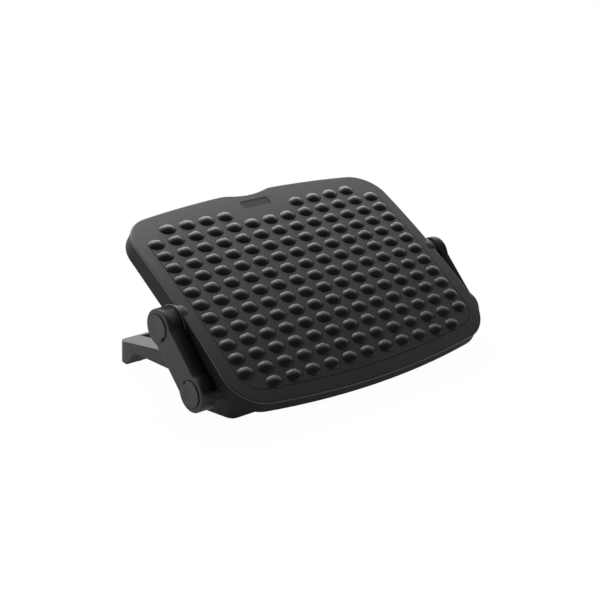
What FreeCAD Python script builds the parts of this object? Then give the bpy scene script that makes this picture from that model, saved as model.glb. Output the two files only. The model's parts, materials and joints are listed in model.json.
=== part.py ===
# Tilting under desk footrest, in millimetres, +Z up.
# X runs across the footrest, +Y to its rear, and the origin is the middle of its footprint on the floor.
# A bumped tread swings between two side arms, and the arms swing on a low open base frame.
import FreeCAD, Part
import Sketcher
import os
from FreeCAD import Placement, Rotation, Vector

doc = FreeCAD.newDocument("footrest")

# Driving dimensions: the name, the size and what it is.
SIZES = [
    ("tilt_axis_y", 3.37, "the tread's tilt axis behind the middle of the whole footrest"),
    ("height_axis_z", 40.0, "the arms' lower axis above the floor"),
    ("arm_centres", 94.4, "from the arms' lower axis to the tilt axis"),
    ("arm_lean", 42.3, "lean of the arms from level, in degrees"),
    ("tread_tilt", 29.6, "slope of the tread from level, in degrees"),
    ("tread_width", 454.0, "across the tread near its front"),
    ("tread_taper", 8.0, "how much narrower the tread is at its rear"),
    ("tread_front", 169.0, "tilt axis to the middle of the front edge"),
    ("tread_rear", 172.0, "tilt axis to the rear edge beside the notch"),
    ("front_bow", 19.8, "how far the front edge bows out"),
    ("rear_bow", 17.6, "how far the rear edge bows out"),
    ("front_corner", 54.0, "radius of the tread's front corners"),
    ("rear_corner", 48.0, "radius of the tread's rear corners"),
    ("crown_radius", 1555.0, "radius of the tread's crown, front to rear"),
    ("tread_height", 24.7, "crown of the tread above its lower rim"),
    ("tread_wall", 3.0, "thickness of the tread's plate and skirt"),
    ("lip_height", 5.0, "height of the rounded lip round the tread"),
    ("lip_overhang", 1.2, "how far the lip stands out over the skirt"),
    ("notch_width", 80.0, "finger notch in the rear edge, across its mouth"),
    ("notch_floor", 26.0, "finger notch, across its floor"),
    ("notch_depth", 7.0, "depth of the finger notch"),
    ("pitch_x", 32.0, "from one column of bumps to the next"),
    ("pitch_y", 22.0, "from one row of bumps to the next"),
    ("bump_length", 25.0, "a bump across the tread"),
    ("bump_width", 19.0, "a bump front to rear"),
    ("bump_height", 4.5, "a bump above the tread"),
    ("lattice_offset", 0.9, "middle row of bumps behind the tilt axis"),
    ("plaque_length", 49.0, "bare recess for a label, across"),
    ("plaque_width", 14.0, "bare recess for a label, front to rear"),
    ("plaque_depth", 0.6, "depth of the label's recess"),
    ("plaque_y", 147.0, "tilt axis to the middle of the label's recess"),
    ("rib_wall", 2.4, "thickness of the ribs under the tread"),
    ("rib_foot", 9.0, "lower edge of the ribs above the tread's rim"),
    ("ear_radius", 26.0, "radius of the tread's ears"),
    ("ear_proud", 1.0, "least that an ear stands out past the tread's side"),
    ("ear_depth", 22.0, "how far an ear reaches in from the tread's side"),
    ("ear_gap", 1.0, "from an ear to the arm beside it, for the friction washer"),
    ("arm_thickness", 21.0, "thickness of an arm"),
    ("arm_radius", 24.5, "radius of an arm's round ends"),
    ("arm_waist", 41.0, "width of an arm between its ends"),
    ("arm_neck", 9.0, "rounding where an arm's ends meet its waist"),
    ("arm_wall", 3.5, "outer wall of an arm behind its hollow"),
    ("arm_edge", 2.0, "rounding of an arm's outer edge"),
    ("cap_radius", 17.3, "radius of the screw covers"),
    ("cap_gap", 0.9, "gap round a screw cover in its seat"),
    ("cap_seat", 2.0, "depth of a screw cover's seat"),
    ("cap_proud", 1.6, "how far a screw cover stands out of its arm"),
    ("well_radius", 13.0, "radius of the screw well in an arm"),
    ("well_room", 0.8, "from a bolt head to the screw cover over it"),
    ("bolt_radius", 4.0, "radius of the bolts"),
    ("bolt_fit", 0.05, "running clearance round a bolt"),
    ("hex_flats", 13.0, "across the flats of heads and nuts"),
    ("head_height", 5.3, "height of a bolt head"),
    ("nut_height", 6.5, "height of a nut"),
    ("bolt_tail", 2.5, "bolt thread beyond its nut"),
    ("washer_radius", 9.0, "radius of the washers and disc springs"),
    ("washer_thickness", 1.6, "thickness of the steel washers"),
    ("spring_thickness", 0.9, "thickness of the disc springs"),
    ("spring_cone", 0.8, "free cone of the disc springs"),
    ("bush_wall", 2.5, "wall of the tilt bushes"),
    ("seat_gap", 0.1, "running gap between faces that turn on each other"),
    ("friction_radius", 19.0, "radius of the friction washers"),
    ("base_width", 428.0, "across the base frame"),
    ("base_front", 23.6, "lower axis to the base's front wall"),
    ("base_rear", 201.4, "lower axis to the base's rear wall"),
    ("front_taper", 11.6, "how far each side draws in at the front"),
    ("taper_start", 22.0, "where the sides begin to draw in, behind the lower axis"),
    ("base_corner", 11.0, "radius of the base's upright corners"),
    ("base_wall", 4.0, "wall of the base frame"),
    ("rail_width", 31.0, "width of the base's side rails"),
    ("rail_rear_height", 30.0, "height of the rail at the rear wall"),
    ("rail_mid_height", 47.6, "height of the rail at its middle"),
    ("rail_middle", 81.3, "rear wall to the rail's middle"),
    ("end_wall", 6.0, "thickness of the base's front and rear walls"),
    ("front_wall_height", 26.0, "height of the base's front wall"),
    ("arch_height", 32.0, "top of the side arches at the front"),
    ("arch_fall", 8.0, "how much lower an arch is at its rear"),
    ("arch_slope", 15.0, "how far an arch's ends lean in"),
    ("front_foot", 59.0, "length of a front foot on the floor"),
    ("rear_foot", 15.0, "length of a rear foot on the floor"),
    ("arch_round", 7.0, "rounding in the arches"),
    ("hollow_end", 49.0, "solid rear end of a rail"),
    ("boss_radius", 16.0, "radius of the pivot bosses on the base"),
    ("boss_least", 8.0, "least length of a pivot boss"),
    ("ring_radius", 15.5, "radius of the click rings"),
    ("ring_height", 7.0, "from a pivot boss to the arm beside it, for the click ring"),
    ("click_teeth", 12.0, "teeth on a click ring"),
    ("tooth_depth", 1.5, "depth of the teeth on a click ring"),
    ("peg_radius", 1.6, "pegs that key a click ring to its boss"),
    ("peg_circle", 11.0, "distance of the pegs from the axis"),
    ("peg_length", 3.9, "length of the pegs"),
    ("pad_radius", 6.0, "radius of the rubber foot pads"),
    ("pad_thickness", 3.0, "thickness of the rubber foot pads"),
    ("pad_proud", 1.0, "how far the foot pads lift the base off the floor"),
]

# Sizes that follow from them: the arms clear the wider of the tread and the base, and the ears and the
# bosses reach out to the arms.
FOLLOWING = [
    ("arm_at_tread", "=tread_width / 2 + ear_proud + ear_gap", "where the tread needs an arm's inner face"),
    ("arm_at_base", "=base_width / 2 + boss_least + ring_height", "where the base needs an arm's inner face"),
    ("arm_inner", "=max(arm_at_tread; arm_at_base)", "middle plane to an arm's inner face"),
    ("ear_outer", "=arm_inner - ear_gap", "middle plane to an ear's outer face"),
    ("ear_length", "=ear_outer - tread_width / 2 + ear_depth", "length of an ear along the tilt axis"),
    ("boss_length", "=arm_inner - ring_height - base_width / 2", "length of a pivot boss"),
    ("stack_height", "=seat_gap + spring_thickness + spring_cone + washer_thickness + head_height",
     "a bolt's head, washer and disc spring together"),
    ("well_depth", "=cap_seat + well_room + stack_height", "depth of the screw well from the arm's outer face"),
]
sheet = doc.addObject("Spreadsheet::Sheet", "size")
for row, (alias, amount, meaning) in enumerate(SIZES + FOLLOWING, start=1):
    sheet.set("A%d" % row, meaning)
    sheet.set("B%d" % row, str(amount))
    sheet.setAlias("B%d" % row, alias)
doc.recompute()

LEFT, RIGHT = -1, 1
SIDES = {"left": LEFT, "right": RIGHT}

# Places that several pieces share, as expressions of the driving dimensions.
HEIGHT_Y = "(size.tilt_axis_y - size.arm_centres * cos(size.arm_lean))"
HEIGHT_Z = "size.height_axis_z"
TILT_Y = "size.tilt_axis_y"
TILT_Z = "(size.height_axis_z + size.arm_centres * sin(size.arm_lean))"
ARM_OUTER = "(size.arm_inner + size.arm_thickness)"
WELL_FLOOR = "(%s - size.well_depth)" % ARM_OUTER
SPRING_TOP = "(%s + size.seat_gap + size.spring_thickness + size.spring_cone)" % WELL_FLOOR
HEAD_SEAT = "(%s + size.washer_thickness)" % SPRING_TOP
BASE_SIDE = "(size.base_width / 2)"
BASE_INSIDE = "(%s - size.rail_width)" % BASE_SIDE
BOSS_FACE = "(%s + size.boss_length)" % BASE_SIDE
BASE_FRONT_Y = "(%s - size.base_front)" % HEIGHT_Y
BASE_REAR_Y = "(%s + size.base_rear)" % HEIGHT_Y


def value(expression):
    """The number that an expression of the driving dimensions gives."""
    return float(sheet.evalExpression(expression))


def signed(side, expression):
    """The same distance out from the middle plane, to the left or to the right."""
    return "%d * (%s)" % (side, expression)


def sketch_on(body, name, role, offset="0"):
    """A sketch on one of its body's own origin planes, moved along the plane's normal."""
    sketch = body.newObject("Sketcher::SketchObject", name)
    plane = next(item for item in body.Origin.OriginFeatures if item.Role == role)
    sketch.AttachmentSupport = [(plane, "")]
    sketch.MapMode = "FlatFace"
    sketch.setExpression("AttachmentOffset.Base.z", offset)
    return sketch


def pin_point(sketch, geometry, point, across, up):
    """Ties one end or centre to its place."""
    for kind, place in (("DistanceX", across), ("DistanceY", up)):
        index = sketch.addConstraint(Sketcher.Constraint(kind, -1, 1, geometry, point, value(place)))
        sketch.setExpression("Constraints[%d]" % index, place)


def draw_outline(sketch, corners):
    """A closed outline through corners (across, up, radius): a radius bows the edge that leaves the corner,
    outwards if it is positive, seen with the outline drawn counter-clockwise."""
    count = len(corners)
    points = [Vector(value(across), value(up), 0) for across, up, bow in corners]
    first = sketch.GeometryCount
    for index, (across, up, bow) in enumerate(corners):
        start, end = points[index], points[(index + 1) % count]
        if bow is None:
            sketch.addGeometry(Part.LineSegment(start, end), False)
            continue
        radius = abs(value(bow))
        chord = end - start
        sagitta = radius - (radius ** 2 - (chord.Length / 2) ** 2) ** 0.5
        outward = Vector(chord.y, -chord.x, 0).normalize() * (sagitta if value(bow) > 0 else -sagitta)
        arc = Part.Arc(start, (start + end) / 2 + outward, end)
        sketch.addGeometry(arc, False)
    for index in range(count):
        geometry = first + index
        following = first + (index + 1) % count
        ends = {1: 1, 2: 2}
        if isinstance(sketch.Geometry[geometry], Part.ArcOfCircle):
            arc = sketch.Geometry[geometry]
            if (arc.StartPoint - points[index]).Length > 1e-6:
                ends = {1: 2, 2: 1}
        starts = 1
        if isinstance(sketch.Geometry[following], Part.ArcOfCircle):
            arc = sketch.Geometry[following]
            if (arc.StartPoint - points[(index + 1) % count]).Length > 1e-6:
                starts = 2
        sketch.addConstraint(Sketcher.Constraint("Coincident", geometry, ends[2], following, starts))
        pin_point(sketch, geometry, ends[1], corners[index][0], corners[index][1])
        if corners[index][2] is not None:
            bow = Sketcher.Constraint("Radius", geometry, abs(value(corners[index][2])))
            number = sketch.addConstraint(bow)
            sketch.setExpression("Constraints[%d]" % number, "abs(%s)" % corners[index][2])


def draw_circle(sketch, across, up, radius):
    """A circle whose centre and radius follow the driving dimensions."""
    centre = Vector(value(across), value(up), 0)
    index = sketch.addGeometry(Part.Circle(centre, Vector(0, 0, 1), value(radius)), False)
    pin_point(sketch, index, 3, across, up)
    number = sketch.addConstraint(Sketcher.Constraint("Radius", index, value(radius)))
    sketch.setExpression("Constraints[%d]" % number, radius)


def pad(body, name, sketch, length, both_ways=False, reverse=False):
    """Adds the sketch's area over a length."""
    feature = body.newObject("PartDesign::Pad", name)
    feature.Profile = sketch
    feature.setExpression("Length", length)
    feature.Midplane = both_ways
    feature.Reversed = reverse
    doc.recompute()
    return feature


def pocket(body, name, sketch, length, both_ways=False, reverse=False):
    """Cuts the sketch's area over a length, and checks that it took something away."""
    before = body.Shape.Volume
    feature = body.newObject("PartDesign::Pocket", name)
    feature.Profile = sketch
    feature.setExpression("Length", length)
    feature.Midplane = both_ways
    feature.Reversed = reverse
    doc.recompute()
    if not body.Shape.Volume < before:
        raise RuntimeError("%s cuts nothing" % name)
    return feature


def fillet(body, name, edges, radius):
    """Rounds the edges that a test picks out of the body's last feature."""
    base = body.Tip
    chosen = ["Edge%d" % number for number, edge in enumerate(base.Shape.Edges, start=1) if edges(edge)]
    feature = body.newObject("PartDesign::Fillet", name)
    feature.Base = (base, chosen)
    feature.setExpression("Radius", radius)
    doc.recompute()
    return feature


def revolve(body, name, sketch, line, cut=False):
    """Turns the sketch about one of its own axes."""
    kind = "PartDesign::Groove" if cut else "PartDesign::Revolution"
    feature = body.newObject(kind, name)
    feature.Profile = sketch
    feature.ReferenceAxis = (sketch, [line])
    feature.Angle = 360
    doc.recompute()
    return feature


def place(item, across, rearward, upward, angle=None):
    """Puts an object where the driving dimensions say, turned about X."""
    item.Placement = Placement(Vector(0, 0, 0), Rotation(Vector(1, 0, 0), 1 if angle else 0))
    for letter, expression in zip("xyz", (across, rearward, upward)):
        item.setExpression("Placement.Base.%s" % letter, expression)
    if angle:
        item.setExpression("Placement.Rotation.Angle", angle)


def turned(name, side, stations, rearward, upward, angle=None):
    """A body turned about a line along X: stations are (distance from the middle plane, radius)."""
    body = doc.addObject("PartDesign::Body", name)
    sketch = sketch_on(body, name + "_profile", "XY_Plane")
    corners = [(signed(side, out), radius, None) for out, radius in stations]
    draw_outline(sketch, corners)
    revolve(body, name + "_turning", sketch, "H_Axis")
    place(body, "0", rearward, upward, angle)
    return body


def cylinder(name, side, inner, outer, radius, rearward="0", upward="0"):
    """A plain cylinder along X between two distances from the middle plane."""
    item = doc.addObject("Part::Cylinder", name)
    item.setExpression("Radius", radius)
    item.setExpression("Height", "%s - (%s)" % (outer, inner))
    item.Placement = Placement(Vector(0, 0, 0), Rotation(Vector(0, 1, 0), 90 * side))
    item.setExpression("Placement.Base.x", signed(side, inner))
    item.setExpression("Placement.Base.y", rearward)
    item.setExpression("Placement.Base.z", upward)
    return item


def hexagon(name, side, inner, length, rearward="0", upward="0", play="0"):
    """A hexagonal prism along X, as a bolt head or a nut, or with play all round, as the pocket for one."""
    item = doc.addObject("Part::Prism", name)
    item.Polygon = 6
    item.setExpression("Circumradius", "(size.hex_flats + 2 * %s) / (2 * cos(30))" % play)
    item.setExpression("Height", length)
    item.Placement = Placement(Vector(0, 0, 0), Rotation(Vector(0, 1, 0), 90 * side))
    item.setExpression("Placement.Base.x", signed(side, inner))
    item.setExpression("Placement.Base.y", rearward)
    item.setExpression("Placement.Base.z", upward)
    return item


def box(name, low, high):
    """A block between two corners."""
    item = doc.addObject("Part::Box", name)
    for size_name, start, end in zip(("Length", "Width", "Height"), low, high):
        item.setExpression(size_name, "(%s) - (%s)" % (end, start))
    for letter, start in zip("xyz", low):
        item.setExpression("Placement.Base.%s" % letter, start)
    return item


def fuse(name, items):
    item = doc.addObject("Part::MultiFuse", name)
    item.Shapes = items
    item.Refine = True
    return item


def cut(name, base, tool):
    item = doc.addObject("Part::Cut", name)
    item.Base, item.Tool = base, tool
    return item


def upright(edge, reach):
    """Whether an edge runs up a corner that lies at least this far out."""
    ends = [vertex.Point for vertex in edge.Vertexes]
    if len(ends) < 2 or min(abs(point.x) for point in ends) < reach:
        return False
    run = ends[1] - ends[0]
    return abs(run.z) > 5 and (run.x ** 2 + run.y ** 2) ** 0.5 < 0.3 * abs(run.z)


NODES = {}


def node(name, item):
    """Names a finished piece: the label is the name of its file."""
    item.Label = name
    NODES[name] = item


# Tread
# One moulding: a crowned plate with a rounded lip, a drafted skirt, ribs and two ears underneath.
# It is drawn level, with the tilt axis as its origin, and then set on its slope.


def tread_block(name, inset):
    """The tread's outline as a block that stands on the skirt's lower rim, drawn in by an inset."""
    body = doc.addObject("PartDesign::Body", name)
    sketch = sketch_on(body, name + "_outline", "XY_Plane")
    front_x = "(size.tread_width / 2 - (%s))" % inset
    rear_x = "(size.tread_width / 2 - size.tread_taper / 2 - (%s))" % inset
    front_y = "-(size.tread_front - size.front_bow - (%s))" % inset
    rear_y = "(size.tread_rear - size.rear_bow - (%s))" % inset
    mouth_y = "(size.tread_rear - (%s))" % inset
    floor_y = "(size.tread_rear - size.notch_depth - (%s))" % inset
    mouth_x, floor_x = "(size.notch_width / 2)", "(size.notch_floor / 2)"
    front_arc = "(((size.tread_width / 2) ^ 2 + size.front_bow ^ 2) / (2 * size.front_bow))"
    chord = "((size.tread_width - size.tread_taper - size.notch_width) / 4)"
    rear_arc = "(((size.tread_width / 2) ^ 2 + size.rear_bow ^ 2) / (2 * size.rear_bow))"
    draw_outline(sketch, [
        ("-" + front_x, front_y, front_arc),
        (front_x, front_y, None),
        (rear_x, rear_y, rear_arc),
        (mouth_x, mouth_y, None),
        (floor_x, floor_y, None),
        ("-" + floor_x, floor_y, None),
        ("-" + mouth_x, mouth_y, rear_arc),
        ("-" + rear_x, rear_y, None),
    ])
    pad(body, name + "_pad", sketch, "size.tread_height + 6")
    half = value("size.tread_width") / 4
    fillet(body, name + "_front_corners", lambda edge: upright(edge, half) and edge.CenterOfMass.y < 0,
           "size.front_corner - (%s)" % inset)
    fillet(body, name + "_rear_corners", lambda edge: upright(edge, half) and edge.CenterOfMass.y > 0,
           "size.rear_corner - (%s)" % inset)
    return body


def crown_cylinder(name, below):
    """The crown's cylinder about a line along X, this far under the crown."""
    return cylinder(name, RIGHT, "-size.tread_width", "size.tread_width", "size.crown_radius - (%s)" % below,
                    upward="size.tread_height - size.crown_radius")


def common(name, first, second):
    item = doc.addObject("Part::MultiCommon", name)
    item.Shapes = [first, second]
    return item


lip_prism = tread_block("lip_outline", "0")
lip_slab = cut("lip_slab", common("lip_crowned", lip_prism, crown_cylinder("lip_crown", "0")),
               crown_cylinder("lip_underside", "size.lip_height"))
skirt_prism = tread_block("skirt_outline", "size.lip_overhang")
skirt = common("skirt", skirt_prism, crown_cylinder("skirt_top", "size.lip_height / 2"))
hollow_prism = tread_block("hollow_outline", "size.tread_wall + size.lip_overhang")
hollow = common("hollow", hollow_prism, crown_cylinder("hollow_ceiling", "size.tread_wall"))
doc.recompute()

# Ribs: a grid that stops short of the rim, so that the base's towers can reach in under the tread.
ribs = []
for place_x in ("-size.tread_width * 0.36", "-size.tread_width * 0.12", "size.tread_width * 0.12",
                "size.tread_width * 0.36"):
    ribs.append(box("rib_along_%d" % len(ribs),
                    ("%s - size.rib_wall / 2" % place_x, "-size.tread_front", "size.rib_foot"),
                    ("%s + size.rib_wall / 2" % place_x, "size.tread_rear", "size.tread_height")))
for place_y in ("-size.tread_front * 0.66", "-size.tread_front * 0.33", "size.tread_front * 0.33",
                "size.tread_front * 0.66"):
    ribs.append(box("rib_across_%d" % len(ribs),
                    ("-size.tread_width / 2", "%s - size.rib_wall / 2" % place_y, "size.rib_foot"),
                    ("size.tread_width / 2", "%s + size.rib_wall / 2" % place_y, "size.tread_height")))
void = cut("tread_void", hollow, fuse("tread_ribs", ribs))
shell = cut("tread_shell", fuse("tread_outside", [lip_slab, skirt]), void)

# Ears: the round hubs that hang between the arms, with a seat for a nut inside.
EAR_INNER = "(size.ear_outer - size.ear_length)"
NUT_SEAT = "(%s + size.nut_height + size.bolt_tail)" % EAR_INNER
ears, bores = [], []
for name, side in SIDES.items():
    ears.append(cylinder("ear_" + name, side, EAR_INNER, "size.ear_outer", "size.ear_radius"))
    bores.append(cylinder("ear_bore_" + name, side, "%s - 1" % EAR_INNER, "size.ear_outer + 1",
                          "size.bolt_radius + size.bolt_fit"))
    bores.append(hexagon("ear_nut_pocket_" + name, side, "%s - 30" % NUT_SEAT, "30", play="size.seat_gap"))
doc.recompute()

# Bumps: oval domes on a lattice that follows the crown, left out at the corners and at the label.
# Each is a stack of tapering rings with few faces, because there are so many of them. A ring is a share
# of the bump's height and of its size, and the lowest one lies inside the plate.
BUMP_RINGS = ((-0.35, 1.20), (0.58, 0.72), (0.95, 0.36))
BUMP_SIDES = 10


def ring_points(scale, height):
    """One ring of a bump: an oval with flats, a share of the bump's size, at a height."""
    half_length, half_width = value("size.bump_length / 2") * scale, value("size.bump_width / 2") * scale
    points = []
    for step in range(BUMP_SIDES):
        turn = Rotation(Vector(0, 0, 1), 360.0 * (step + 0.5) / BUMP_SIDES).multVec(Vector(1, 0, 0))
        points.append(Vector(half_length * turn.x, half_width * turn.y, height))
    return points


def bump_shape():
    """One bump, level, with its foot inside the plate."""
    rings = [ring_points(scale, share * value("size.bump_height")) for share, scale in BUMP_RINGS]
    outlines = [rings[0][::-1], rings[-1]]
    for lower, upper in zip(rings, rings[1:]):
        for step in range(BUMP_SIDES):
            after = (step + 1) % BUMP_SIDES
            outlines.append([lower[step], lower[after], upper[after], upper[step]])
    faces = [Part.Face(Part.makePolygon(points + points[:1])) for points in outlines]
    return Part.Solid(Part.Shell(faces))


def bump_places():
    """Column and row numbers of the bumps, counted from the middle one."""
    last = 6
    for row in range(-last, last + 1):
        for column in range(-last, last + 1):
            corner = abs(row) == last and abs(column) == last
            at_label = row == last and abs(column) <= 1
            if not corner and not at_label:
                yield column, row


def set_on_crown(item, along):
    """Turns a shape that stands on the crown's middle line to a place in front of it or behind it."""
    radius = value("size.crown_radius")
    centre = Vector(0, 0, value("size.tread_height") - radius)
    item.rotate(centre, Vector(1, 0, 0), value("-(%s) / size.crown_radius * 180 / pi" % along))
    return item


bump = bump_shape()
bumps = []
for column, row in bump_places():
    copy = bump.copy()
    copy.translate(Vector(column * value("size.pitch_x"), 0, value("size.tread_height")))
    bumps.append(set_on_crown(copy, "%d * size.pitch_y + size.lattice_offset" % row))
bump_field = doc.addObject("Part::Feature", "bump_field")
bump_field.Shape = Part.makeCompound(bumps)

# The label's place is a bare shallow recess.
length, width, depth = (value("size.plaque_%s" % word) for word in ("length", "width", "depth"))
recess = Part.makeBox(length, width, depth * 4, Vector(-length / 2, -width / 2, value("size.tread_height") - depth))
plaque = doc.addObject("Part::Feature", "plaque")
plaque.Shape = set_on_crown(recess, "size.plaque_y")

tread_recessed = cut("tread_recessed", fuse("tread_with_ears", [shell] + ears), plaque)
tread_bored = cut("tread_bored", tread_recessed, fuse("ear_bores", bores))
tread = doc.addObject("Part::MultiFuse", "tread_finished")
tread.Shapes = [tread_bored, bump_field]
tread.Refine = False
place(tread, "0", TILT_Y, TILT_Z, "size.tread_tilt")
node("tread", tread)


# Base frame
# One open moulding on the floor: two arched side rails that rise to towers at the lower pivots,
# a low front wall and a thin rear wall. It is hollow towards the middle, where the nuts go in.
base = doc.addObject("PartDesign::Body", "base_frame_body")
FLOOR = "size.pad_proud"
RAIL_MID_Y = "(%s - size.rail_middle)" % BASE_REAR_Y


def base_profile(inset, floor, rear_y, rear_z):
    """The side outline of a rail and its tower, drawn in by an inset, from a given floor and rear end."""
    reach = "(size.base_front - (%s))" % inset
    top_y = "(%s - %s * 0.2)" % (HEIGHT_Y, reach)
    top_z = "(size.height_axis_z + %s * 0.98)" % reach
    front_y = "(%s - %s)" % (HEIGHT_Y, reach)
    return [
        (front_y, floor, None),
        (rear_y, floor, None),
        (rear_y, rear_z, None),
        (RAIL_MID_Y, "(size.rail_mid_height - (%s))" % inset, None),
        (top_y, top_z, reach),
        (front_y, "size.height_axis_z", None),
    ]


side = sketch_on(base, "side_outline", "YZ_Plane")
draw_outline(side, base_profile("0", FLOOR, BASE_REAR_Y, "size.rail_rear_height"))
pad(base, "rails_and_walls", side, "size.base_width", both_ways=True)

# The sides draw in towards the front.
TAPER_Y = "(%s + size.taper_start)" % HEIGHT_Y
for name, side in SIDES.items():
    sketch = sketch_on(base, "taper_%s" % name, "XY_Plane")
    corner = [
        (signed(side, BASE_SIDE), TAPER_Y, None),
        (signed(side, "%s - size.front_taper" % BASE_SIDE), BASE_FRONT_Y, None),
        (signed(side, "%s - size.front_taper" % BASE_SIDE), "%s - size.end_wall" % BASE_FRONT_Y, None),
        (signed(side, "%s + size.end_wall" % BASE_SIDE), "%s - size.end_wall" % BASE_FRONT_Y, None),
        (signed(side, "%s + size.end_wall" % BASE_SIDE), TAPER_Y, None),
    ]
    draw_outline(sketch, corner if side == LEFT else corner[::-1])
    pocket(base, "draw_in_%s" % name, sketch, "size.base_width", both_ways=True)
fillet(base, "upright_corners", lambda edge: upright(edge, value(BASE_SIDE) - 20)
       and abs(edge.CenterOfMass.y - value(TAPER_Y)) > 10, "size.base_corner")

# The great opening in the middle, and the low front wall before it.
middle = sketch_on(base, "middle_opening", "XY_Plane")
draw_outline(middle, [
    ("-" + BASE_INSIDE, "%s + size.end_wall" % BASE_FRONT_Y, None),
    (BASE_INSIDE, "%s + size.end_wall" % BASE_FRONT_Y, None),
    (BASE_INSIDE, "%s - size.end_wall" % BASE_REAR_Y, None),
    ("-" + BASE_INSIDE, "%s - size.end_wall" % BASE_REAR_Y, None),
])
pocket(base, "middle_cut", middle, "size.base_width", both_ways=True)
front = sketch_on(base, "front_wall_top", "XZ_Plane", "-(%s + size.end_wall)" % BASE_FRONT_Y)
draw_outline(front, [
    ("-" + BASE_INSIDE, "size.front_wall_height", None),
    (BASE_INSIDE, "size.front_wall_height", None),
    (BASE_INSIDE, "size.height_axis_z * 2", None),
    ("-" + BASE_INSIDE, "size.height_axis_z * 2", None),
])
pocket(base, "front_wall_cut", front, "size.end_wall * 2", reverse=True)

# Side arches between the feet, and the rails' hollows, open to the middle.
ARCH_FRONT = "(%s + size.front_foot)" % BASE_FRONT_Y
ARCH_REAR = "(%s - size.rear_foot)" % BASE_REAR_Y
ARCH_LOW = "(size.arch_height - size.arch_fall)"
arch = sketch_on(base, "side_arch", "YZ_Plane")
draw_outline(arch, [
    (ARCH_FRONT, "-%s" % FLOOR, None),
    (ARCH_REAR, "-%s" % FLOOR, None),
    ("%s - size.arch_slope" % ARCH_REAR, ARCH_LOW, None),
    ("%s + size.arch_slope" % ARCH_FRONT, "size.arch_height", None),
])
pocket(base, "arches", arch, "size.base_width * 2", both_ways=True)


def arch_corner(edge):
    """Whether an edge runs across the base at the top of an arch's end."""
    ends = [vertex.Point for vertex in edge.Vertexes]
    if len(ends) < 2 or abs(ends[0].x - ends[1].x) < value("size.rail_width") - 2:
        return False
    high = value(ARCH_LOW) - 1 < edge.CenterOfMass.z < value("size.arch_height") + 1
    inside = value(ARCH_FRONT) < edge.CenterOfMass.y < value(ARCH_REAR)
    return high and inside


fillet(base, "arch_corners", arch_corner, "size.arch_round")

# Seats for the rubber pads, under the four feet.
PAD_X = "(%s - size.front_taper - size.pad_radius * 1.5)" % BASE_SIDE
PAD_FRONT_Y = "(%s + size.front_foot / 3)" % BASE_FRONT_Y
PAD_REAR_Y = "(%s - size.rear_foot / 2)" % BASE_REAR_Y
PAD_SPOTS = [(signed(side, PAD_X), along) for side in (LEFT, RIGHT) for along in (PAD_FRONT_Y, PAD_REAR_Y)]
seats = sketch_on(base, "pad_seats", "XY_Plane", FLOOR)
for across, along in PAD_SPOTS:
    draw_circle(seats, across, along, "size.pad_radius + size.seat_gap")
pocket(base, "pad_recesses", seats, "size.pad_thickness - size.pad_proud", reverse=True)

# Each rail's hollow is what an inset side outline and an inset plan share, so that it follows the taper.
RAIL_FALL = "((size.rail_mid_height - size.rail_rear_height) / size.rail_middle)"
ARCH_FALL = "(size.arch_fall / (%s - %s - 2 * size.arch_slope))" % (ARCH_REAR, ARCH_FRONT)
HOLLOW_END_Y = "(%s - size.hollow_end)" % BASE_REAR_Y
hollow_side = doc.addObject("PartDesign::Body", "hollow_side")
sketch = sketch_on(hollow_side, "hollow_side_outline", "YZ_Plane")
inner_tower = base_profile("size.base_wall", "0", "0", "0")
draw_outline(sketch, [
    (inner_tower[0][0], "size.base_wall + %s" % FLOOR, None),
    ("%s - size.base_wall" % ARCH_FRONT, "size.base_wall + %s" % FLOOR, None),
    ("%s + size.arch_slope - size.base_wall" % ARCH_FRONT, "size.arch_height + size.base_wall", None),
    (HOLLOW_END_Y, "size.arch_height + size.base_wall - (%s - %s - size.arch_slope) * %s"
     % (HOLLOW_END_Y, ARCH_FRONT, ARCH_FALL), None),
    (HOLLOW_END_Y, "size.rail_mid_height - size.base_wall - (%s - %s) * %s"
     % (HOLLOW_END_Y, RAIL_MID_Y, RAIL_FALL), None),
    (RAIL_MID_Y, "size.rail_mid_height - size.base_wall", None),
    inner_tower[4],
    inner_tower[5],
])
pad(hollow_side, "hollow_side_pad", sketch, "size.base_width", both_ways=True)
BASE_NUT_SEAT = "(%s - size.front_taper - size.base_wall)" % BASE_SIDE
hubs, hollows, pivot_bores = [], [], []
for name, side in SIDES.items():
    plan = doc.addObject("PartDesign::Body", "hollow_plan_" + name)
    sketch = sketch_on(plan, "hollow_plan_outline_" + name, "XY_Plane")
    corners = [
        (signed(side, "%s - 1" % BASE_INSIDE), BASE_FRONT_Y, None),
        (signed(side, BASE_NUT_SEAT), BASE_FRONT_Y, None),
        (signed(side, "%s - size.base_wall" % BASE_SIDE), TAPER_Y, None),
        (signed(side, "%s - size.base_wall" % BASE_SIDE), BASE_REAR_Y, None),
        (signed(side, "%s - 1" % BASE_INSIDE), BASE_REAR_Y, None),
    ]
    draw_outline(sketch, corners if side == RIGHT else corners[::-1])
    pad(plan, "hollow_plan_pad_" + name, sketch, "size.height_axis_z * 2")
    hollows.append(common("rail_hollow_" + name, hollow_side, plan))
    hubs.append(cylinder("hub_" + name, side, BASE_NUT_SEAT, BOSS_FACE, "size.boss_radius", HEIGHT_Y, HEIGHT_Z))
    pivot_bores.append(cylinder("pivot_bore_" + name, side, BASE_INSIDE, "%s + 1" % BOSS_FACE,
                                "size.bolt_radius + size.bolt_fit", HEIGHT_Y, HEIGHT_Z))
    for turn in (1, -1):
        pivot_bores.append(cylinder("peg_hole_%s" % name, side, "%s - size.peg_length - size.seat_gap" % BOSS_FACE,
                                    "%s + 1" % BOSS_FACE, "size.peg_radius + size.seat_gap", HEIGHT_Y,
                                    "%s + %d * size.peg_circle" % (HEIGHT_Z, turn)))
hollowed = cut("base_hollowed", base, fuse("rail_hollows", hollows))
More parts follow.
